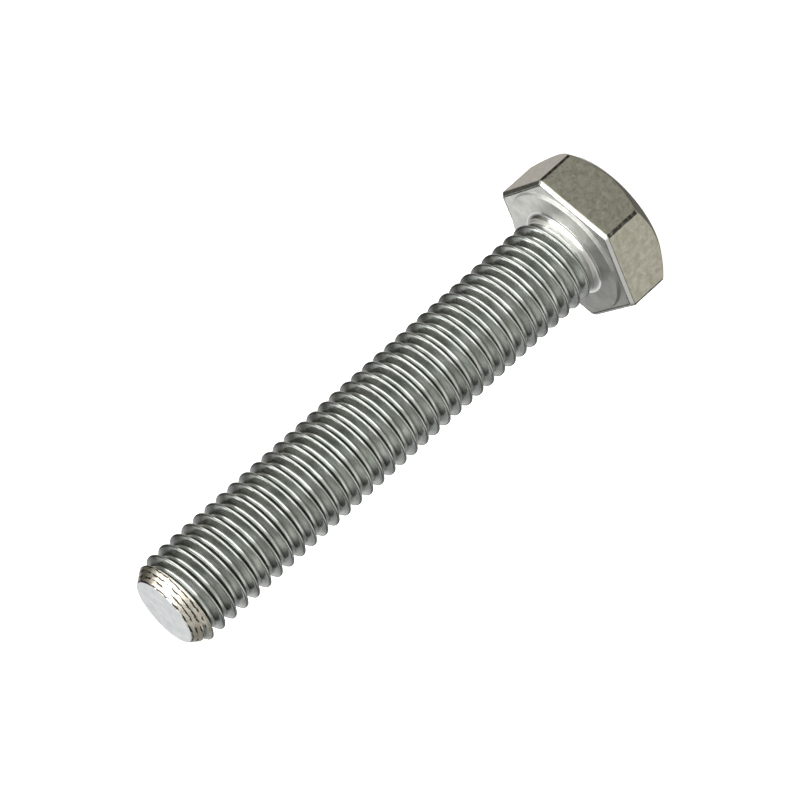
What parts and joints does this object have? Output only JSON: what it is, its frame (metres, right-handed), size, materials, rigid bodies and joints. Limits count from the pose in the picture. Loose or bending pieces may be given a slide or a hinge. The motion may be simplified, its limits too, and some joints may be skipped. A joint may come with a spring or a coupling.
{
  "type": "fully threaded hex bolt",
  "caption": "Zinc-plated steel hex bolt, threaded along its whole shank, with a chamfered head, a round bearing face and a tapered flat point.",
  "frame": {"origin": "centre of the bearing face under the head, on the bolt's axis", "axes": "+Z along the axis from the head to the point; the head lies below z = 0; +Y is square to one pair of flats and +X runs through two corners"},
  "size_m": [0.0146, 0.0128, 0.0501],
  "materials": {
    "zinc_plated_steel": "bright zinc plate over rolled and forged steel"
  },
  "bodies": {
    "root": {"hex_bolt": "zinc_plated_steel"}
  },
  "joints": []
}
